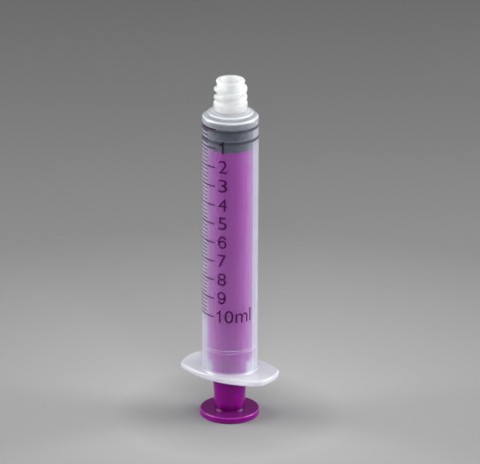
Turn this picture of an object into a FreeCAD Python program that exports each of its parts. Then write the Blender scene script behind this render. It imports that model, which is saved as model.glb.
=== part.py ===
import FreeCAD, Part
import math
import os

import Sketcher

# Ten-millilitre syringe for tube feeding, with a wide threaded nozzle, standing on its thumb disc.
# Millimetres, +Z up along the barrel, the origin at the centre of the thumb disc's underside, the finger
# flange's long axis along X. Three pieces: a moulded barrel with its nozzle and flange, a hollow round
# plunger rod with a thumb disc, and a rubber seal whose spigot plugs the rod's open front end.

doc = FreeCAD.newDocument("syringe")

# Driving sizes, in millimetres where nothing else is said
SIZES = {
    # barrel tube, measured from the underside of the flange
    "bore_dia": 14.6,
    "barrel_wall": 1.2,
    "bore_depth": 82.0,
    "mouth_flare": 0.45,
    "mouth_depth": 1.2,
    "bead_place": 9.3,
    "bead_rise": 0.15,
    "bead_length": 1.0,
    # front end of the barrel: a shallow cone, rising 0.4 for each 1 inwards, with a raised land
    "front_slope": 0.4,
    "front_wall": 1.85,
    "land_inset": 1.6,
    "land_step": 0.45,
    "land_bevel": 0.15,
    "shoulder_round": 1.2,
    # finger flange, by how far it stands out past the tube at its narrow sides and at its ends
    "flange_lift": 13.6,
    "flange_thick": 2.0,
    "flange_side_reach": 1.15,
    "flange_end_reach": 7.1,
    "flange_side_radius": 26.5,
    "flange_end_radius": 12.7,
    "flange_corner": 2.6,
    "flange_edge_round": 0.6,
    "flange_under_bevel": 0.45,
    "flange_foot_bevel": 0.45,
    # nozzle, measured from its foot on the land, with a conical seat inside
    "nozzle_height": 9.3,
    "nozzle_wall": 1.3,
    "lip_rise": 0.2,
    "lip_height": 0.9,
    "lip_bevel": 0.35,
    "collar_height": 2.6,
    "collar_margin": 0.1,
    "collar_bevel": 0.45,
    "seat_mouth_dia": 5.7,
    "seat_taper": 0.06,
    "seat_floor": 1.6,
    "seat_lead_in": 0.25,
    "fluid_hole_dia": 2.9,
    # two-start right-hand thread on the nozzle, a ridge with a bevelled crest
    "thread_depth": 0.85,
    "thread_base": 2.0,
    "thread_crest": 0.7,
    "thread_bevel": 0.4,
    "thread_sink": 0.25,
    "thread_lead": 5.0,
    "thread_starts": 2,
    "thread_foot": 0.86,
    "thread_end_gap": 1.04,
    # plunger rod, measured from the underside of the thumb disc
    "thumb_dia": 18.2,
    "thumb_thick": 2.0,
    "thumb_bevel": 0.3,
    "neck_foot_dia": 9.2,
    "neck_foot_bevel": 0.4,
    "step_inset": 5.2,
    "step_depth": 1.35,
    "step_bevel": 0.4,
    "rod_clearance": 0.4,
    "rod_wall": 1.3,
    "rod_floor": 2.0,
    # rubber seal, measured from its back face on the rod's front rim
    "seal_clearance": 0.4,
    "rib_clearance": 0.03,
    "rib_width": 0.9,
    "rib_flank": 0.45,
    "back_band": 3.05,
    "rib_apart": 3.55,
    "front_band": 2.2,
    "nose_tip_dia": 3.0,
    "nose_gap": 0.15,
    "nose_bevel": 0.3,
    "seal_front_wall": 4.3,
    # spigot of the seal and the snap groove for its bead in the rod
    "spigot_clearance": 0.05,
    "spigot_wall": 2.55,
    "spigot_tail": 1.9,
    "spigot_lead_in": 0.6,
    "snap_place": 3.2,
    "snap_rise": 0.45,
    "snap_width": 0.8,
    "snap_flank": 0.5,
    "snap_play": 0.1,
}

sheet = doc.addObject("Spreadsheet::Sheet", "sizes")
for row, (alias, number) in enumerate(SIZES.items(), start=1):
    sheet.set(f"A{row}", alias)
    sheet.set(f"B{row}", str(number))
    sheet.setAlias(f"B{row}", alias)
doc.recompute()


def named(formula):
    """Write the sheet's name before each size in a formula, as its expressions need."""
    words = formula.replace("(", " ( ").replace(")", " ) ").split()
    return " ".join(f"sizes.{word}" if word in SIZES else word for word in words)


# Radii that follow from the sizes, as formulas of the sheet
BORE = "( bore_dia / 2 )"
OUTSIDE = f"( {BORE} + barrel_wall )"
LAND = f"( {OUTSIDE} - land_inset )"
SEAT_MOUTH = "( seat_mouth_dia / 2 )"
ROOT = f"( {SEAT_MOUTH} + nozzle_wall )"
THREAD = f"( {ROOT} + thread_depth )"
COLLAR = f"( {THREAD} + collar_margin )"
LIP = f"( {ROOT} + lip_rise )"
HOLE = "( fluid_hole_dia / 2 )"
ROD = f"( {BORE} - rod_clearance )"
ROD_BORE = f"( {ROD} - rod_wall )"
NECK_TOP = f"( {ROD} - step_depth )"
SNAP_GROOVE = f"( {ROD_BORE} + snap_rise )"
SPIGOT = f"( {ROD_BORE} - spigot_clearance )"
SNAP_BEAD = f"( {SPIGOT} + snap_rise )"
CAVITY = f"( {SPIGOT} - spigot_wall )"
SEAL_BODY = f"( {BORE} - seal_clearance )"
SEAL_RIB = f"( {BORE} - rib_clearance )"
NOSE_TIP = "( nose_tip_dia / 2 )"

# Heights over the underside of the flange
FRONT = "( bore_depth + front_wall )"
NOZZLE_FOOT = f"( {FRONT} + ( {BORE} - {COLLAR} ) * front_slope )"
NOZZLE_RIM = f"( {NOZZLE_FOOT} + nozzle_height )"
SEAT_FLOOR = f"( {NOZZLE_FOOT} + seat_floor )"

# Heights over the back face of the seal
SEAL_SHOULDER = "( back_band + rib_apart + front_band )"
SPIGOT_END = "( 0 - snap_place - snap_width / 2 - snap_flank - spigot_tail )"

# Heights over the underside of the thumb disc
STEP = "( flange_lift + step_inset )"
FRONT_RIM = f"( flange_lift + bore_depth + seal_clearance * front_slope - nose_gap - {SEAL_SHOULDER} )"


def origin_part(body, role):
    """An origin plane or axis of a body, found by its role."""
    return next(feature for feature in body.Origin.OriginFeatures if feature.Role == role)


def new_body(name):
    body = doc.addObject("PartDesign::Body", name)
    body.Label = name
    return body


def new_sketch(body, name, role):
    sketch = body.newObject("Sketcher::SketchObject", name)
    sketch.AttachmentSupport = (origin_part(body, role), [""])
    sketch.MapMode = "FlatFace"
    return sketch


def bind(thing, what, formula):
    thing.setExpression(what, named(formula))


def place_point(sketch, line, end, radius, height):
    """Hold one end of a line at a radius and a height, each a formula or a plain zero."""
    if radius == "0":
        sketch.addConstraint(Sketcher.Constraint("PointOnObject", line, end, -2))
    else:
        at = sketch.addConstraint(Sketcher.Constraint("DistanceX", -1, 1, line, end, 1.0))
        bind(sketch, f"Constraints[{at}]", radius)
    if height == "0":
        sketch.addConstraint(Sketcher.Constraint("PointOnObject", line, end, -1))
    else:
        at = sketch.addConstraint(Sketcher.Constraint("DistanceY", -1, 1, line, end, 1.0))
        bind(sketch, f"Constraints[{at}]", height)


def outline(body, name, corners):
    """A closed outline of straight lines in the XZ plane, its corners bound to the sheet."""
    sketch = new_sketch(body, name, "XZ_Plane")
    count = len(corners)
    turn = 2 * math.pi / count
    rough = [FreeCAD.Vector(5 + math.cos(turn * i), math.sin(turn * i), 0) for i in range(count)]
    for i in range(count):
        sketch.addGeometry(Part.LineSegment(rough[i], rough[(i + 1) % count]), False)
    for i in range(count):
        sketch.addConstraint(Sketcher.Constraint("Coincident", i, 2, (i + 1) % count, 1))
    for i, (radius, height) in enumerate(corners):
        place_point(sketch, i, 1, radius, height)
    return sketch


def turned(body, kind, name, corners):
    """A Revolution or a Groove of an outline once round the Z axis."""
    sketch = outline(body, name + "_outline", corners)
    feature = body.newObject(f"PartDesign::{kind}", name)
    feature.Profile = sketch
    feature.ReferenceAxis = (origin_part(body, "Z_Axis"), [""])
    feature.Angle = 360.0
    body.Tip = feature
    doc.recompute()
    return feature


def rings(shape, radius):
    """Names of the circular edges of this radius, from the lowest to the highest."""
    found = []
    for number, edge in enumerate(shape.Edges, start=1):
        curve = edge.Curve
        if isinstance(curve, Part.Circle) and abs(curve.Radius - radius) < 0.001:
            found.append((curve.Center.z, f"Edge{number}"))
    return [name for height, name in sorted(found)]


def dressed(body, kind, name, edges, what, size):
    """A Fillet or a Chamfer of the named edges, its radius or width bound to a size of the sheet."""
    if not edges:
        raise RuntimeError(f"{name} finds no edge")
    base = body.Tip
    feature = body.newObject(f"PartDesign::{kind}", name)
    feature.Base = (base, edges)
    bind(feature, what, size)
    body.Tip = feature
    doc.recompute()


def rounded(body, name, edges, size):
    dressed(body, "Fillet", name, edges, "Radius", size)


def bevelled(body, name, edges, size):
    dressed(body, "Chamfer", name, edges, "Size", size)


def flange_outline(body):
    """Two long shallow arcs and two short ones that meet at four corners."""
    sketch = new_sketch(body, "flange_outline", "XY_Plane")
    tube = sheet.bore_dia / 2 + sheet.barrel_wall
    side, end = sheet.flange_side_radius, sheet.flange_end_radius
    side_centre = tube + sheet.flange_side_reach - side
    end_centre = tube + sheet.flange_end_reach - end
    apart = math.hypot(end_centre, side_centre)
    along = (side * side - end * end + apart * apart) / (2 * apart)
    across = math.sqrt(side * side - along * along)
    corner_x = (end_centre * along - side_centre * across) / apart
    corner_y = side_centre + (-side_centre * along + end_centre * across) / apart
    side_spread = math.pi / 2 - math.atan2(corner_y - side_centre, corner_x)
    end_spread = math.atan2(corner_y, corner_x - end_centre)
    arcs = [
        (end_centre, 0, end, end_spread),
        (0, side_centre, side, side_spread),
        (-end_centre, 0, end, end_spread),
        (0, -side_centre, side, side_spread),
    ]
    up = FreeCAD.Vector(0, 0, 1)
    for i, (x, y, radius, spread) in enumerate(arcs):
        circle = Part.Circle(FreeCAD.Vector(x, y, 0), up, radius)
        middle = i * math.pi / 2
        sketch.addGeometry(Part.ArcOfCircle(circle, middle - spread, middle + spread), False)
    for i in range(4):
        sketch.addConstraint(Sketcher.Constraint("Coincident", i, 2, (i + 1) % 4, 1))
    for i, (x, y, radius, spread) in enumerate(arcs):
        at_end = i % 2 == 0
        sketch.addConstraint(Sketcher.Constraint("PointOnObject", i, 3, -1 if at_end else -2))
        at = sketch.addConstraint(Sketcher.Constraint("Radius", i, radius))
        bind(sketch, f"Constraints[{at}]", "flange_end_radius" if at_end else "flange_side_radius")
    for i, what, formula in (
        (0, "DistanceX", f"flange_end_radius - flange_end_reach - {OUTSIDE}"),
        (1, "DistanceY", f"flange_side_radius - flange_side_reach - {OUTSIDE}"),
        (2, "DistanceX", f"{OUTSIDE} + flange_end_reach - flange_end_radius"),
        (3, "DistanceY", f"{OUTSIDE} + flange_side_reach - flange_side_radius"),
    ):
        centre = arcs[i][0] + arcs[i][1]
        at = sketch.addConstraint(Sketcher.Constraint(what, i, 3, -1, 1, -centre))
        bind(sketch, f"Constraints[{at}]", formula)
    return sketch


def edges_at(shape, height, reach):
    """Names of the edges that lie at a height and further out than a radius."""
    found = []
    for number, edge in enumerate(shape.Edges, start=1):
        ends = [vertex.Point for vertex in edge.Vertexes]
        if all(abs(p.z - height) < 0.001 and math.hypot(p.x, p.y) > reach for p in ends):
            found.append(f"Edge{number}")
    return found


def upright_edges(shape):
    """Names of the flange's four upright corner edges."""
    found = []
    for number, edge in enumerate(shape.Edges, start=1):
        box = edge.BoundBox
        if box.ZLength > 0.5 * sheet.flange_thick and box.XLength + box.YLength < 0.001:
            found.append(f"Edge{number}")
    return found


def make_flange(body, tube):
    """The finger flange: a plate with round corners, its upper edge rounded and its under edge bevelled."""
    pad = body.newObject("PartDesign::Pad", "flange_plate")
    pad.Profile = flange_outline(body)
    bind(pad, "Length", "flange_thick")
    body.Tip = pad
    doc.recompute()
    rounded(body, "flange_corners", upright_edges(pad.Shape), "flange_corner")
    past_tube = tube + sheet.flange_side_reach / 2
    upper = edges_at(body.Tip.Shape, sheet.flange_thick, past_tube)
    rounded(body, "flange_upper_edge", upper, "flange_edge_round")
    bevelled(body, "flange_under_edge", edges_at(body.Tip.Shape, 0, past_tube), "flange_under_bevel")
    bevelled(body, "flange_foot", rings(body.Tip.Shape, tube)[:1], "flange_foot_bevel")


def make_thread(body):
    """The nozzle's thread: one helix of a bevelled ridge, repeated round the axis for each start."""
    middle = f"{NOZZLE_FOOT} + thread_foot"
    ridge = [
        (f"{ROOT} - thread_sink", f"{middle} - thread_base / 2"),
        (f"{THREAD} - thread_bevel", f"{middle} - thread_crest / 2 - thread_bevel"),
        (THREAD, f"{middle} - thread_crest / 2"),
        (THREAD, f"{middle} + thread_crest / 2"),
        (f"{THREAD} - thread_bevel", f"{middle} + thread_crest / 2 + thread_bevel"),
        (f"{ROOT} - thread_sink", f"{middle} + thread_base / 2"),
    ]
    helix = body.newObject("PartDesign::AdditiveHelix", "thread_ridge")
    helix.Profile = outline(body, "thread_ridge_outline", ridge)
    helix.ReferenceAxis = (origin_part(body, "Z_Axis"), [""])
    helix.Mode = "pitch-height-angle"
    bind(helix, "Pitch", "thread_lead")
    bind(helix, "Height", "nozzle_height - lip_height - thread_end_gap - thread_foot")
    body.Tip = helix
    doc.recompute()
    starts = body.newObject("PartDesign::PolarPattern", "thread_starts")
    starts.Originals = [helix]
    starts.Axis = (origin_part(body, "Z_Axis"), [""])
    starts.Angle = 360.0
    bind(starts, "Occurrences", "thread_starts")
    body.Tip = starts
    doc.recompute()


def make_barrel():
    """Tube, front cone, nozzle and flange, moulded in one piece."""
    body = new_body("barrel")
    turned(body, "Revolution", "tube_and_nozzle", [
        ("0", "0"),
        (OUTSIDE, "0"),
        (OUTSIDE, f"{FRONT} - land_step - barrel_wall * front_slope"),
        (LAND, f"{FRONT} - land_step + ( {BORE} - {LAND} ) * front_slope"),
        (LAND, f"{FRONT} + ( {BORE} - {LAND} ) * front_slope"),
        (COLLAR, NOZZLE_FOOT),
        (COLLAR, f"{NOZZLE_FOOT} + collar_height"),
        (ROOT, f"{NOZZLE_FOOT} + collar_height"),
        (ROOT, f"{NOZZLE_RIM} - lip_height"),
        (LIP, f"{NOZZLE_RIM} - lip_height + lip_rise"),
        (LIP, NOZZLE_RIM),
        ("0", NOZZLE_RIM),
    ])
    tube = sheet.bore_dia / 2 + sheet.barrel_wall
    seat_mouth = sheet.seat_mouth_dia / 2
    root = seat_mouth + sheet.nozzle_wall
    collar = root + sheet.thread_depth + sheet.collar_margin
    rounded(body, "shoulder_edge", rings(body.Tip.Shape, tube)[-1:], "shoulder_round")
    bevelled(body, "land_edge", rings(body.Tip.Shape, tube - sheet.land_inset)[-1:], "land_bevel")
    bevelled(body, "collar_edge", rings(body.Tip.Shape, collar)[-1:], "collar_bevel")
    bevelled(body, "lip_edge", rings(body.Tip.Shape, root + sheet.lip_rise)[-1:], "lip_bevel")
    make_flange(body, tube)
    make_thread(body)
    turned(body, "Groove", "bore_and_seat", [
        ("0", "0"),
        (f"{BORE} + mouth_flare", "0"),
        (BORE, "mouth_depth"),
        (BORE, "bead_place - bead_length / 2"),
        (f"{BORE} - bead_rise", "bead_place - bead_length / 2 + bead_rise"),
        (f"{BORE} - bead_rise", "bead_place + bead_length / 2 - bead_rise"),
        (BORE, "bead_place + bead_length / 2"),
        (BORE, "bore_depth"),
        (HOLE, f"bore_depth + ( {BORE} - {HOLE} ) * front_slope"),
        (HOLE, SEAT_FLOOR),
        (f"{SEAT_MOUTH} - ( nozzle_height - seat_floor ) * seat_taper / 2", SEAT_FLOOR),
        (SEAT_MOUTH, NOZZLE_RIM),
        ("0", NOZZLE_RIM),
    ])
    bevelled(body, "seat_mouth", rings(body.Tip.Shape, seat_mouth), "seat_lead_in")
    bind(body, "Placement.Base.z", "flange_lift")
    return body


def make_rod():
    """Round hollow rod with an even wall, cored from its front end, on a closed thumb disc."""
    body = new_body("plunger_rod")
    turned(body, "Revolution", "rod_outside", [
        ("0", "0"),
        ("thumb_dia / 2", "0"),
        ("thumb_dia / 2", "thumb_thick"),
        ("neck_foot_dia / 2", "thumb_thick"),
        (NECK_TOP, STEP),
        (ROD, STEP),
        (ROD, FRONT_RIM),
        ("0", FRONT_RIM),
    ])
    rod = sheet.bore_dia / 2 - sheet.rod_clearance
    bevelled(body, "thumb_edges", rings(body.Tip.Shape, sheet.thumb_dia / 2), "thumb_bevel")
    bevelled(body, "neck_foot", rings(body.Tip.Shape, sheet.neck_foot_dia / 2), "neck_foot_bevel")
    bevelled(body, "step_edge", rings(body.Tip.Shape, rod)[:1], "step_bevel")
    turned(body, "Groove", "rod_core", [
        ("0", "rod_floor"),
        ("neck_foot_dia / 2 - rod_wall", "rod_floor"),
        ("neck_foot_dia / 2 - rod_wall", f"{STEP} + rod_wall"),
        (ROD_BORE, f"{STEP} + rod_wall + {ROD} - neck_foot_dia / 2"),
        (ROD_BORE, f"{FRONT_RIM} - snap_place - snap_width / 2 - snap_play - snap_flank"),
        (SNAP_GROOVE, f"{FRONT_RIM} - snap_place - snap_width / 2 - snap_play"),
        (SNAP_GROOVE, f"{FRONT_RIM} - snap_place + snap_width / 2 + snap_play"),
        (ROD_BORE, f"{FRONT_RIM} - snap_place + snap_width / 2 + snap_play + snap_flank"),
        (ROD_BORE, FRONT_RIM),
        ("0", FRONT_RIM),
    ])
    return body


def make_seal():
    """Rubber seal with two ribs, a conical nose, and a hollow spigot with a snap bead."""
    body = new_body("plunger_seal")
    corners = [
        ("0", SPIGOT_END),
        (f"{SPIGOT} - spigot_lead_in", SPIGOT_END),
        (SPIGOT, f"{SPIGOT_END} + spigot_lead_in"),
        (SPIGOT, "0 - snap_place - snap_width / 2 - snap_flank"),
        (SNAP_BEAD, "0 - snap_place - snap_width / 2"),
        (SNAP_BEAD, "snap_width / 2 - snap_place"),
        (SPIGOT, "snap_width / 2 + snap_flank - snap_place"),
        (SPIGOT, "0"),
        (SEAL_BODY, "0"),
    ]
    for rib in ("back_band", "back_band + rib_apart"):
        corners += [
            (SEAL_BODY, f"{rib} - rib_width / 2 - rib_flank"),
            (SEAL_RIB, f"{rib} - rib_width / 2"),
            (SEAL_RIB, f"{rib} + rib_width / 2"),
            (SEAL_BODY, f"{rib} + rib_width / 2 + rib_flank"),
        ]
    nose_top = f"{SEAL_SHOULDER} + ( {SEAL_BODY} - {NOSE_TIP} ) * front_slope"
    corners += [
        (SEAL_BODY, SEAL_SHOULDER),
        (NOSE_TIP, nose_top),
        ("0", nose_top),
    ]
    turned(body, "Revolution", "seal_outside", corners)
    shoulder = rings(body.Tip.Shape, sheet.bore_dia / 2 - sheet.seal_clearance)[-1:]
    bevelled(body, "nose_edge", shoulder, "nose_bevel")
    cavity_top = f"{SEAL_SHOULDER} - seal_front_wall"
    turned(body, "Groove", "seal_cavity", [
        ("0", SPIGOT_END),
        (CAVITY, SPIGOT_END),
        (CAVITY, cavity_top),
        ("0", cavity_top),
    ])
    bind(body, "Placement.Base.z", FRONT_RIM)
    return body


pieces = [make_barrel(), make_rod(), make_seal()]
doc.recompute()

for thing in doc.Objects:
    if "Invalid" in thing.State or "Error" in thing.State:
        raise RuntimeError(f"{thing.Name} did not compute: {thing.State}")

for piece in pieces:
    if piece.Shape.isNull() or not piece.Shape.isValid() or len(piece.Shape.Solids) != 1:
        raise RuntimeError(f"{piece.Label} is not one sound solid")

os.makedirs("parts", exist_ok=True)
for piece in pieces:
    piece.Shape.exportStep(f"parts/{piece.Label}.step")
    print(piece.Label, f"{piece.Shape.Volume:.1f} mm3")
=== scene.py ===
import math

import bmesh
import bpy
from mathutils import Matrix, Vector


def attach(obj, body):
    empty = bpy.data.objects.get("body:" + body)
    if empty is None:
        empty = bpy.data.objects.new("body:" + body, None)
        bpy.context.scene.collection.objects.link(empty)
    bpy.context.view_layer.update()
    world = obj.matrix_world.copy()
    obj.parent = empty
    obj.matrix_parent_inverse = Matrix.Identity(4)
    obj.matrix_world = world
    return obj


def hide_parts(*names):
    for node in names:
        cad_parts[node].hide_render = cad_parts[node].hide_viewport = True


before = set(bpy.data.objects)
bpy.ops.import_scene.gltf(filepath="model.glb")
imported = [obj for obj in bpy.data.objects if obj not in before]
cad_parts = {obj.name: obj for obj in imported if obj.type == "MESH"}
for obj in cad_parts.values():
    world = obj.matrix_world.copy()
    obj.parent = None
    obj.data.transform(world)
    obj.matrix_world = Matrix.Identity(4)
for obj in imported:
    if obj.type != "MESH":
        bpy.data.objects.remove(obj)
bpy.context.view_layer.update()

# Looks of a ten-millilitre feeding syringe: a milky clear barrel with an ink scale, a purple rod and a
# dark rubber seal, on a plain studio floor. Metres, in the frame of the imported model.
MM = 0.001

# Sizes of the print, from the barrel it lies on: the ink reaches from its foot to its top above the tube
TUBE_RADIUS = 8.5 * MM
INK_FOOT = 0.006 * MM
INK_TOP = 0.03 * MM
ZERO_HEIGHT = 94.25 * MM
ML_PITCH = 5.98 * MM
SCALE_ML = 10
MINOR_PER_ML = 5
# The lines: their ends round the tube, counted from the front towards the right, and their widths
MAJOR_RIGHT = math.radians(0.5)
MINOR_RIGHT = math.radians(-20)
LINES_LEFT = math.radians(-72)
MAJOR_WEIGHT = 0.42 * MM
MINOR_WEIGHT = 0.30 * MM
# The print runs a little aslant, to the left by this much at each millilitre
PRINT_DRIFT = 0.05 * MM

# Numerals: their left edges along the tube's round, counted from the front, their sizes, and how far their
# middles lie above their lines
DIGIT_LEFT = 1.2 * MM
DIGIT_WIDTH = 2.7 * MM
DIGIT_HEIGHT = 4.0 * MM
DIGIT_RAISE = 0.45 * MM
ONE_LEFT = 1.35 * MM
ONE_WIDTH = 1.3 * MM
# The last numeral and its unit, each character as text, left edge, width and height
PRINTED_TEN = (
    ("1", 0.5 * MM, ONE_WIDTH, DIGIT_HEIGHT),
    ("0", 3.05 * MM, DIGIT_WIDTH, DIGIT_HEIGHT),
    ("m", 6.4 * MM, 4.0 * MM, 0.76 * DIGIT_HEIGHT),
    ("l", 11.13 * MM, 0.5 * MM, 1.08 * DIGIT_HEIGHT),
)
# The outline of the 1 in a box one wide and one high
ONE_OUTLINE = (
    (0.63, 0.0), (1.0, 0.0), (1.0, 1.0), (0.75, 1.0), (0.6, 0.89), (0.33, 0.8),
    (0.0, 0.75), (0.0, 0.64), (0.33, 0.67), (0.63, 0.75),
)
# The built-in font's strokes are thinned by the offset, and points of a flat character nearer than the snap
# become one, both in the character's own units
FONT_OFFSET = -0.003
GLYPH_SNAP = 0.0005
# Characters are cut into strips this wide to bend round the tube, and points nearer than the snap become one
STRIP_WIDTH = 0.25 * MM
CUT_SNAP = 0.002 * MM

# How clear the barrel is at each height in millimetres: milky at the flange
CLEARNESS = ((13.0, 0.45), (15.7, 0.45), (16.2, 0.90), (30.0, 0.95), (80.0, 0.97), (94.6, 0.96))
# The same over the front end, on top of that: milky at the shoulder's edge, the land's edge and the nozzle;
# the narrow rings at the two edges are partly the thick edges' own milk and partly painted highlights
FRONT_CLEARNESS_AND_HIGHLIGHTS = (
    (93.8, 1.0), (94.5, 0.91), (95.2, 0.92), (96.0, 0.90), (96.3, 0.25), (96.5, 0.25), (96.8, 0.82),
    (97.25, 0.82), (97.45, 0.35), (97.62, 0.35), (97.75, 0.80), (98.3, 0.62), (98.45, 0.2),
)
# The same where a ray leaves the plastic, by how far the face turns from the ray, 0 when square on
EDGE_CLEARNESS = ((0.04, 1.0), (0.19, 0.86), (0.27, 0.66), (0.38, 0.48))
# How much of the nozzle's paler milk there is at each height in millimetres
NOZZLE_MILK = ((97.0, 0.0), (98.6, 1.0))

# How far the rod turns to its thin-walled body's colour at each height in millimetres: the full disc is
# deeper in colour, and the disc's top, the neck's foot and the neck under the flange darker by painted shade
HOLLOWNESS_AND_SHADE = ((1.6, 0.55), (1.9, 0.0), (2.4, 0.0), (4.5, 0.5), (13.0, 0.5), (15.5, 1.0))
# Painted highlights: a pale colour on the bevels of the thumb disc and the step, and in a band just above the
# step
PAINTED_BEVEL_HIGHLIGHTS = (
    (1.68, 0.0), (1.75, 1.0), (1.92, 1.0), (1.99, 0.0),
    (18.8, 0.0), (18.9, 1.0), (19.35, 1.0), (19.5, 0.0),
)

# The ribs are the seal's points outside the first radius, and press into the bore's wall at the second
RIB_FROM = 7.2 * MM
RIB_SQUEEZED = 7.32 * MM

# Camera, fitted to the photograph, and its offset to the right
CAMERA_AZIMUTH = math.radians(31.4)
CAMERA_ELEVATION = math.radians(20.7)
CAMERA_ROLL = math.radians(0.216)
CAMERA_DISTANCE = 1.2
CAMERA_TARGET = Vector((0, 0, 59.13 * MM))
CAMERA_OFFSET = 2.97 * MM
CAMERA_LENS = 298.9
CAMERA_SENSOR = 36.0
CAMERA_REACH = 50.0

# Studio, with the floor fading into the plain backdrop between two distances
FLOOR_RADIUS = 20.0
FLOOR_SIDES = 96
FADE_FROM = 0.42
FADE_TO = 0.62
WORLD_LIGHT = 0.08
# Lamps: name, azimuth from the camera and elevation in degrees, distance, width and height in metres, watts
SOFT_BOXES = (
    ("left_box", -94, 10, 0.75, 0.5, 1.1, 11.0),
    ("right_box", 94, 10, 0.75, 0.5, 1.1, 13.0),
    ("front_box", 10, 32, 1.1, 0.6, 0.3, 6.0),
    ("top_box", 0, 82, 1.1, 0.35, 0.25, 2.9),
)


def linear(red, green, blue):
    """A colour given as 0 to 255 in sRGB, as the linear numbers that shaders take."""
    def channel(value):
        value = value / 255
        return value / 12.92 if value <= 0.04045 else ((value + 0.055) / 1.055) ** 2.4
    return (channel(red), channel(green), channel(blue), 1.0)


# Floor greys in sRGB by distance from the object in metres, with a painted shadow round the object's foot and
# painted shade that darkens the floor further out, and the backdrop beyond
FLOOR_PAINTED_SHADE = ((0.0, 135), (0.012, 140), (0.035, 160), (0.06, 153), (0.16, 126), (0.28, 116), (0.45, 109))
BACKDROP = linear(110, 110, 107)


# Materials

def new_material(name):
    material = bpy.data.materials.new(name)
    material.use_nodes = True
    tree = material.node_tree
    return material, tree, tree.nodes["Principled BSDF"]


def object_coordinates(tree):
    return tree.nodes.new("ShaderNodeTexCoord").outputs["Object"]


def noise(tree, scale):
    """A noise pattern over the piece, scale in waves a metre."""
    texture = tree.nodes.new("ShaderNodeTexNoise")
    texture.inputs["Scale"].default_value = scale
    texture.inputs["Detail"].default_value = 3.0
    tree.links.new(object_coordinates(tree), texture.inputs["Vector"])
    return texture.outputs["Fac"]


def spread(tree, source, low, high):
    """The source's 0.3 to 0.7 stretched to low and high."""
    node = tree.nodes.new("ShaderNodeMapRange")
    node.inputs["From Min"].default_value = 0.3
    node.inputs["From Max"].default_value = 0.7
    node.inputs["To Min"].default_value = low
    node.inputs["To Max"].default_value = high
    tree.links.new(source, node.inputs["Value"])
    return node.outputs["Result"]


def math_node(tree, operation, first, second):
    node = tree.nodes.new("ShaderNodeMath")
    node.operation = operation
    for socket, value in zip(node.inputs, (first, second)):
        if isinstance(value, (int, float)):
            socket.default_value = value
        else:
            tree.links.new(value, socket)
    return node.outputs["Value"]


def mixed_colour(tree, factor, first, second):
    node = tree.nodes.new("ShaderNodeMix")
    node.data_type = "RGBA"
    for name, value in (("Factor", factor), ("A", first), ("B", second)):
        if isinstance(value, tuple):
            node.inputs[name].default_value = value
        else:
            tree.links.new(value, node.inputs[name])
    return node.outputs["Result"]


def ramp(tree, source, stops):
    """A value that follows the source from stop to stop, each stop a source value and a result."""
    lowest, highest = stops[0][0], stops[-1][0]
    span = tree.nodes.new("ShaderNodeMapRange")
    span.inputs["From Min"].default_value = lowest
    span.inputs["From Max"].default_value = highest
    tree.links.new(source, span.inputs["Value"])
    steps = tree.nodes.new("ShaderNodeValToRGB")
    while len(steps.color_ramp.elements) < len(stops):
        steps.color_ramp.elements.new(0.5)
    for element, (place, value) in zip(steps.color_ramp.elements, stops):
        element.position = (place - lowest) / (highest - lowest)
        element.color = (value, value, value, 1)
    tree.links.new(span.outputs["Result"], steps.inputs["Fac"])
    return steps.outputs["Color"]


def height_in_mm(tree):
    """The height on the piece in millimetres."""
    place = tree.nodes.new("ShaderNodeSeparateXYZ")
    tree.links.new(object_coordinates(tree), place.inputs["Vector"])
    return math_node(tree, "DIVIDE", place.outputs["Z"], MM)


def bump(tree, height, strength, distance):
    node = tree.nodes.new("ShaderNodeBump")
    node.inputs["Strength"].default_value = strength
    node.inputs["Distance"].default_value = distance
    tree.links.new(height, node.inputs["Height"])
    return node.outputs["Normal"]


def purple_plastic():
    """Glossy moulded polypropylene, deeper where full than thin-walled, with painted shade and highlights."""
    material, tree, shader = new_material("purple_plastic")
    # The full disc's deeper colour, also used as painted shade, and the thin-walled body's colour, painted
    # lighter inside the barrel
    solid_and_shaded = (0.075, 0.0002, 0.067, 1)
    hollow_and_lit = (0.315, 0.003, 0.295, 1)
    # The colour of the painted highlight on the bevels
    bevel_highlight = (0.36, 0.04, 0.33, 1)
    height = height_in_mm(tree)
    # The disc's top, the neck's foot and the neck under the flange are darkened here: painted shade
    colour = mixed_colour(tree, ramp(tree, height, HOLLOWNESS_AND_SHADE), solid_and_shaded, hollow_and_lit)
    # A painted highlight on the two bevels and just above the step
    colour = mixed_colour(tree, ramp(tree, height, PAINTED_BEVEL_HIGHLIGHTS), colour, bevel_highlight)
    tree.links.new(colour, shader.inputs["Base Color"])
    tree.links.new(spread(tree, noise(tree, 300), 0.15, 0.20), shader.inputs["Roughness"])
    tree.links.new(bump(tree, noise(tree, 400), 0.05, 0.00002), shader.inputs["Normal"])
    shader.inputs["IOR"].default_value = 1.49
    shader.inputs["Specular IOR Level"].default_value = 0.18
    return material


def dark_rubber():
    """Matt dark grey rubber."""
    material, tree, shader = new_material("dark_rubber")
    dark = (0.011, 0.016, 0.032, 1)
    light = (0.016, 0.022, 0.042, 1)
    colour = mixed_colour(tree, spread(tree, noise(tree, 250), 0, 1), dark, light)
    tree.links.new(colour, shader.inputs["Base Color"])
    tree.links.new(spread(tree, noise(tree, 1500), 0.42, 0.55), shader.inputs["Roughness"])
    tree.links.new(bump(tree, noise(tree, 4000), 0.1, 0.00005), shader.inputs["Normal"])
    return material


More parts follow.
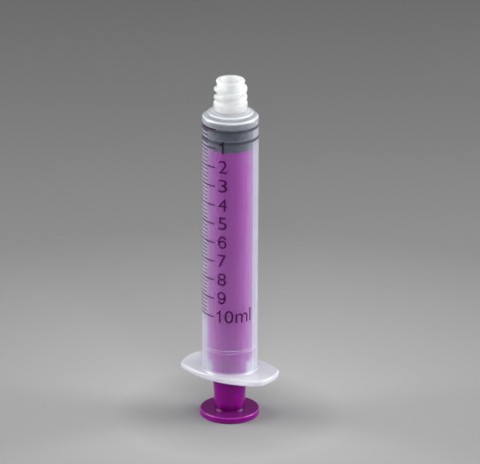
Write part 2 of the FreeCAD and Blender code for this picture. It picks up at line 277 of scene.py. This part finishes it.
def dark_ink():
    """Printed ink that darkens what lies behind it, a little uneven."""
    material, tree, shader = new_material("dark_ink")
    dense = (0.62, 0.36, 0.62, 1)
    sparse = (0.70, 0.42, 0.70, 1)
    see_through = 0.75
    cloud = spread(tree, noise(tree, 1800), 0, 1)
    shader.inputs["Base Color"].default_value = (0.03, 0.002, 0.03, 1)
    tree.links.new(spread(tree, noise(tree, 2500), 0.7, 0.85), shader.inputs["Roughness"])
    shader.inputs["Specular IOR Level"].default_value = 0.1

    filtered = tree.nodes.new("ShaderNodeBsdfTransparent")
    tree.links.new(mixed_colour(tree, cloud, dense, sparse), filtered.inputs["Color"])
    both = tree.nodes.new("ShaderNodeMixShader")
    both.inputs["Fac"].default_value = see_through
    tree.links.new(shader.outputs["BSDF"], both.inputs[1])
    tree.links.new(filtered.outputs["BSDF"], both.inputs[2])
    tree.links.new(both.outputs["Shader"], tree.nodes["Material Output"].inputs["Surface"])
    return material


def milky_clear():
    """Clear polypropylene with a little milk in it, which shows where it is thick or seen edge on."""
    material, tree, shader = new_material("milky_clear")
    nodes, links = tree.nodes, tree.links
    tube_milk = (0.83, 0.875, 1.0, 1)
    nozzle_milk = (0.960, 0.988, 1.0, 1)
    height = height_in_mm(tree)
    clearness = ramp(tree, height, CLEARNESS)
    # Milk over the front end, its narrow rings at the shoulder's and the land's edges partly painted
    # highlights
    clearness = math_node(tree, "MULTIPLY", clearness, ramp(tree, height, FRONT_CLEARNESS_AND_HIGHLIGHTS))
    facing = nodes.new("ShaderNodeLayerWeight").outputs["Facing"]
    leaving = nodes.new("ShaderNodeNewGeometry").outputs["Backfacing"]
    edge = ramp(tree, math_node(tree, "MULTIPLY", facing, leaving), EDGE_CLEARNESS)
    links.new(math_node(tree, "MULTIPLY", clearness, edge), shader.inputs["Transmission Weight"])
    colour = mixed_colour(tree, ramp(tree, height, NOZZLE_MILK), tube_milk, nozzle_milk)
    links.new(colour, shader.inputs["Base Color"])
    links.new(spread(tree, noise(tree, 700), 0.05, 0.10), shader.inputs["Roughness"])
    shader.inputs["IOR"].default_value = 1.49
    shader.inputs["Subsurface Weight"].default_value = 1.0
    shader.inputs["Subsurface Radius"].default_value = (1.0, 1.0, 1.0)
    shader.inputs["Subsurface Scale"].default_value = 10.0 * MM

    rays = nodes.new("ShaderNodeLightPath").outputs
    lamp_or_diffuse = math_node(tree, "MAXIMUM", rays["Is Shadow Ray"], rays["Is Diffuse Ray"])
    straight = nodes.new("ShaderNodeBsdfTransparent")
    both = nodes.new("ShaderNodeMixShader")
    links.new(math_node(tree, "MULTIPLY", lamp_or_diffuse, clearness), both.inputs["Fac"])
    links.new(shader.outputs["BSDF"], both.inputs[1])
    links.new(straight.outputs["BSDF"], both.inputs[2])
    links.new(both.outputs["Shader"], nodes["Material Output"].inputs["Surface"])
    return material


def pale_floor():
    """Seamless studio paper: painted shadow near the object, painted shade further out, then the backdrop."""
    material, tree, shader = new_material("pale_floor")
    nodes, links = tree.nodes, tree.links
    distance = nodes.new("ShaderNodeVectorMath")
    distance.operation = "LENGTH"
    links.new(object_coordinates(tree), distance.inputs[0])
    # Painted shadow round the object's foot and painted shade further out
    painted_shade = [(place, linear(grey, grey, grey)[0]) for place, grey in FLOOR_PAINTED_SHADE]
    links.new(ramp(tree, distance.outputs["Value"], painted_shade), shader.inputs["Base Color"])
    shader.inputs["Roughness"].default_value = 0.9
    shader.inputs["Specular IOR Level"].default_value = 0.1

    fade = nodes.new("ShaderNodeMapRange")
    fade.interpolation_type = "SMOOTHSTEP"
    fade.inputs["From Min"].default_value = FADE_FROM
    fade.inputs["From Max"].default_value = FADE_TO
    links.new(distance.outputs["Value"], fade.inputs["Value"])
    plain = nodes.new("ShaderNodeEmission")
    plain.inputs["Color"].default_value = BACKDROP
    both = nodes.new("ShaderNodeMixShader")
    links.new(fade.outputs["Result"], both.inputs["Fac"])
    links.new(shader.outputs["BSDF"], both.inputs[1])
    links.new(plain.outputs["Emission"], both.inputs[2])
    links.new(both.outputs["Shader"], nodes["Material Output"].inputs["Surface"])
    return material


def squeezed_seal():
    """The seal with its ribs pressed to the bore, so that they show through the wall as they do in life."""
    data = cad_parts["plunger_seal"].data.copy()
    data.name = "squeezed_seal"
    for vertex in data.vertices:
        radius = math.hypot(vertex.co.x, vertex.co.y)
        if radius > RIB_FROM:
            vertex.co.x *= RIB_SQUEEZED / radius
            vertex.co.y *= RIB_SQUEEZED / radius
    seal = bpy.data.objects.new("squeezed_seal", data)
    bpy.context.scene.collection.objects.link(seal)
    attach(seal, "seal")
    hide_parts("plunger_seal")


# Ink scale on the barrel

def on_tube(angle, height, lift):
    """A point on the tube, its angle counted from the front (-Y) towards +X."""
    radius = TUBE_RADIUS + lift
    return Vector((radius * math.sin(angle), -radius * math.cos(angle), height))


def add_ribbon(mesh, centre_line, width):
    """A thin strip of ink, closed all round, along a line of (arc length, height) places on the tube."""
    last = len(centre_line) - 1
    rims = []
    for i, (x, y) in enumerate(centre_line):
        before, after = centre_line[max(i - 1, 0)], centre_line[min(i + 1, last)]
        along = Vector((after[0] - before[0], after[1] - before[1])).normalized()
        aside = Vector((-along.y, along.x)) * (width / 2)
        rim = []
        for side, lift in ((-1, INK_FOOT), (1, INK_FOOT), (1, INK_TOP), (-1, INK_TOP)):
            place = on_tube((x + side * aside.x) / TUBE_RADIUS, y + side * aside.y, lift)
            rim.append(mesh.verts.new(place))
        rims.append(rim)
    for here, there in zip(rims, rims[1:]):
        for k in range(4):
            mesh.faces.new((here[k], there[k], there[(k + 1) % 4], here[(k + 1) % 4]))
    mesh.faces.new(rims[0])
    mesh.faces.new(tuple(reversed(rims[-1])))


def finish_ink(mesh, name):
    """The mesh as a piece of ink that rides on the barrel."""
    bmesh.ops.recalc_face_normals(mesh, faces=mesh.faces)
    data = bpy.data.meshes.new(name)
    mesh.to_mesh(data)
    mesh.free()
    piece = bpy.data.objects.new(name, data)
    bpy.context.scene.collection.objects.link(piece)
    data.materials.append(ink)
    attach(piece, "barrel")


def scale_lines():
    """Lines from 0 to 10 ml, a long one at each millilitre."""
    mesh = bmesh.new()
    steps = 24
    for i in range(SCALE_ML * MINOR_PER_ML + 1):
        major = i % MINOR_PER_ML == 0
        right = MAJOR_RIGHT if major else MINOR_RIGHT
        height = ZERO_HEIGHT - ML_PITCH * i / MINOR_PER_ML
        line = []
        for k in range(steps + 1):
            angle = LINES_LEFT + (right - LINES_LEFT) * k / steps
            line.append((angle * TUBE_RADIUS - PRINT_DRIFT * i / MINOR_PER_ML, height))
        add_ribbon(mesh, line, MAJOR_WEIGHT if major else MINOR_WEIGHT)
    finish_ink(mesh, "scale_lines")


def arc(centre_x, centre_y, radius_x, radius_y, start, end):
    """Places along part of an ellipse, in steps of about ten degrees."""
    steps = abs(end - start) // 10
    angles = [math.radians(start + (end - start) * i / steps) for i in range(steps + 1)]
    return [(centre_x + radius_x * math.cos(a), centre_y + radius_y * math.sin(a)) for a in angles]


def own_outlines(text):
    """Outlines of 1, 6 and 9, about one wide and one high, which the built-in font draws otherwise."""
    if text == "1":
        return [ONE_OUTLINE]
    if text in ("6", "9"):
        back = arc(0.48, 0.5, 0.5, 0.5, 90, -152)
        hook = arc(0.48, 0.5, 0.31, 0.37, -148, -12)
        bowl = arc(0.47, 0.67, 0.47, 0.33, -48, -260)
        nine = [back + hook + bowl, arc(0.47, 0.67, 0.28, 0.205, 0, 350)]
        return nine if text == "9" else [[(-x, -y) for x, y in outline] for outline in nine]
    return []


def glyph_curve(text):
    """A character as a filled flat curve."""
    outlines = own_outlines(text)
    if not outlines:
        curve = bpy.data.curves.new("glyph", "FONT")
        curve.body = text
        curve.resolution_u = 6
        curve.offset = FONT_OFFSET
        return curve
    curve = bpy.data.curves.new("glyph", "CURVE")
    curve.dimensions = "2D"
    curve.fill_mode = "FRONT"
    for outline in outlines:
        spline = curve.splines.new("POLY")
        spline.points.add(len(outline) - 1)
        spline.use_cyclic_u = True
        for point, (x, y) in zip(spline.points, outline):
            point.co = (x, y, 0, 1)
    return curve


def flat_glyph(text):
    """The flat faces of a character."""
    curve = glyph_curve(text)
    holder = bpy.data.objects.new("glyph", curve)
    data = bpy.data.meshes.new_from_object(holder)
    mesh = bmesh.new()
    mesh.from_mesh(data)
    bmesh.ops.remove_doubles(mesh, verts=mesh.verts, dist=GLYPH_SNAP)
    bpy.data.objects.remove(holder)
    bpy.data.curves.remove(curve)
    bpy.data.meshes.remove(data)
    return mesh


def placed_glyph(text, left, foot, width, height):
    """A flat character, its box set to the place and size."""
    mesh = flat_glyph(text)
    xs = [vertex.co.x for vertex in mesh.verts]
    ys = [vertex.co.y for vertex in mesh.verts]
    for vertex in mesh.verts:
        vertex.co.x = left + (vertex.co.x - min(xs)) * width / (max(xs) - min(xs))
        vertex.co.y = foot + (vertex.co.y - min(ys)) * height / (max(ys) - min(ys))
    return mesh


def wrap_glyphs(mesh):
    """Cut the flat text into narrow upright strips, thicken it and lay it on the tube."""
    left = min(vertex.co.x for vertex in mesh.verts)
    right = max(vertex.co.x for vertex in mesh.verts)
    cuts = int((right - left) / STRIP_WIDTH)
    for i in range(1, cuts + 1):
        everything = list(mesh.verts) + list(mesh.edges) + list(mesh.faces)
        place = Vector((left + i * STRIP_WIDTH, 0, 0))
        bmesh.ops.bisect_plane(mesh, geom=everything, dist=CUT_SNAP, plane_co=place, plane_no=(1, 0, 0))
    bmesh.ops.remove_doubles(mesh, verts=mesh.verts, dist=CUT_SNAP)
    top = bmesh.ops.duplicate(mesh, geom=list(mesh.verts) + list(mesh.edges) + list(mesh.faces))
    raised = {vertex for vertex in top["geom"] if isinstance(vertex, bmesh.types.BMVert)}
    matches = top["edge_map"]
    for edge in [edge for edge in mesh.edges if edge.is_boundary and edge.verts[0] not in raised]:
        a, b = edge.verts
        c, d = matches[edge].verts
        if (a.co - c.co).length > (a.co - d.co).length:
            c, d = d, c
        mesh.faces.new((a, b, d, c))
    for vertex in mesh.verts:
        lift = INK_TOP if vertex in raised else INK_FOOT
        vertex.co = on_tube(vertex.co.x / TUBE_RADIUS, vertex.co.y, lift)


def numerals_at(number):
    """The characters beside a line, each as text, left edge, width and height."""
    if number == SCALE_ML:
        return PRINTED_TEN
    if number == 1:
        return (("1", ONE_LEFT, ONE_WIDTH, DIGIT_HEIGHT),)
    return ((str(number), DIGIT_LEFT - PRINT_DRIFT * number, DIGIT_WIDTH, DIGIT_HEIGHT),)


def scale_numerals():
    """1 to 9, and 10 ml, each beside its line."""
    numerals = bmesh.new()
    for number in range(1, SCALE_ML + 1):
        foot = ZERO_HEIGHT - ML_PITCH * number + DIGIT_RAISE - DIGIT_HEIGHT / 2
        for text, left, width, height in numerals_at(number):
            mesh = placed_glyph(text, left, foot, width, height)
            wrap_glyphs(mesh)
            data = bpy.data.meshes.new("glyph")
            mesh.to_mesh(data)
            mesh.free()
            numerals.from_mesh(data)
            bpy.data.meshes.remove(data)
    finish_ink(numerals, "scale_numerals")


# Stage

def studio_floor():
    """A round floor, far larger than any view of the object."""
    mesh = bmesh.new()
    bmesh.ops.create_circle(mesh, cap_ends=True, segments=FLOOR_SIDES, radius=FLOOR_RADIUS)
    data = bpy.data.meshes.new("studio_floor")
    mesh.to_mesh(data)
    mesh.free()
    data.materials.append(pale_floor())
    floor = bpy.data.objects.new("studio_floor", data)
    bpy.context.scene.collection.objects.link(floor)


def soft_box(name, azimuth, elevation, distance, width, height, power):
    """A rectangular lamp that faces the syringe, its azimuth counted from the camera towards its right."""
    turn = CAMERA_AZIMUTH + math.radians(azimuth)
    lift = math.radians(elevation)
    away = Vector((math.sin(turn) * math.cos(lift), -math.cos(turn) * math.cos(lift), math.sin(lift)))
    data = bpy.data.lights.new(name, "AREA")
    data.shape = "RECTANGLE"
    data.size = width
    data.size_y = height
    data.energy = power
    lamp = bpy.data.objects.new(name, data)
    lamp.location = CAMERA_TARGET + away * distance
    lamp.rotation_euler = away.to_track_quat("Z", "Y").to_euler()
    bpy.context.scene.collection.objects.link(lamp)


def studio_world():
    """A dim even light, which cameras, gloss and clear plastic see as the backdrop."""
    world = bpy.data.worlds.new("studio_world")
    world.use_nodes = True
    tree = world.node_tree
    rays = tree.nodes.new("ShaderNodeLightPath").outputs
    seen = math_node(tree, "MAXIMUM", rays["Is Camera Ray"], rays["Is Glossy Ray"])
    seen = math_node(tree, "MAXIMUM", seen, rays["Is Transmission Ray"])
    colour = mixed_colour(tree, seen, (WORLD_LIGHT, WORLD_LIGHT, WORLD_LIGHT, 1), BACKDROP)
    tree.links.new(colour, tree.nodes["Background"].inputs["Color"])
    bpy.context.scene.world = world


def photo_camera():
    """The photograph's view."""
    right = Vector((math.cos(CAMERA_AZIMUTH), math.sin(CAMERA_AZIMUTH), 0))
    flat = Vector((math.sin(CAMERA_AZIMUTH), -math.cos(CAMERA_AZIMUTH), 0))
    back = flat * math.cos(CAMERA_ELEVATION) + Vector((0, 0, math.sin(CAMERA_ELEVATION)))
    up = back.cross(right)
    rolled_right = right * math.cos(CAMERA_ROLL) + up * math.sin(CAMERA_ROLL)
    rolled_up = up * math.cos(CAMERA_ROLL) - right * math.sin(CAMERA_ROLL)
    data = bpy.data.cameras.new("camera")
    data.lens = CAMERA_LENS
    data.sensor_width = CAMERA_SENSOR
    data.clip_end = CAMERA_REACH
    camera = bpy.data.objects.new("camera", data)
    turn = Matrix((rolled_right, rolled_up, back)).transposed()
    place = CAMERA_TARGET + rolled_right * CAMERA_OFFSET + back * CAMERA_DISTANCE
    camera.matrix_world = Matrix.Translation(place) @ turn.to_4x4()
    bpy.context.scene.collection.objects.link(camera)
    bpy.context.scene.camera = camera


ink = dark_ink()
for node, material in (
    ("barrel", milky_clear()),
    ("plunger_rod", purple_plastic()),
    ("plunger_seal", dark_rubber()),
):
    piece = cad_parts[node]
    piece.data.materials.clear()
    piece.data.materials.append(material)
squeezed_seal()
scale_lines()
scale_numerals()

studio_floor()
for lamp in SOFT_BOXES:
    soft_box(*lamp)
studio_world()
photo_camera()
bpy.context.scene.view_settings.view_transform = "Standard"
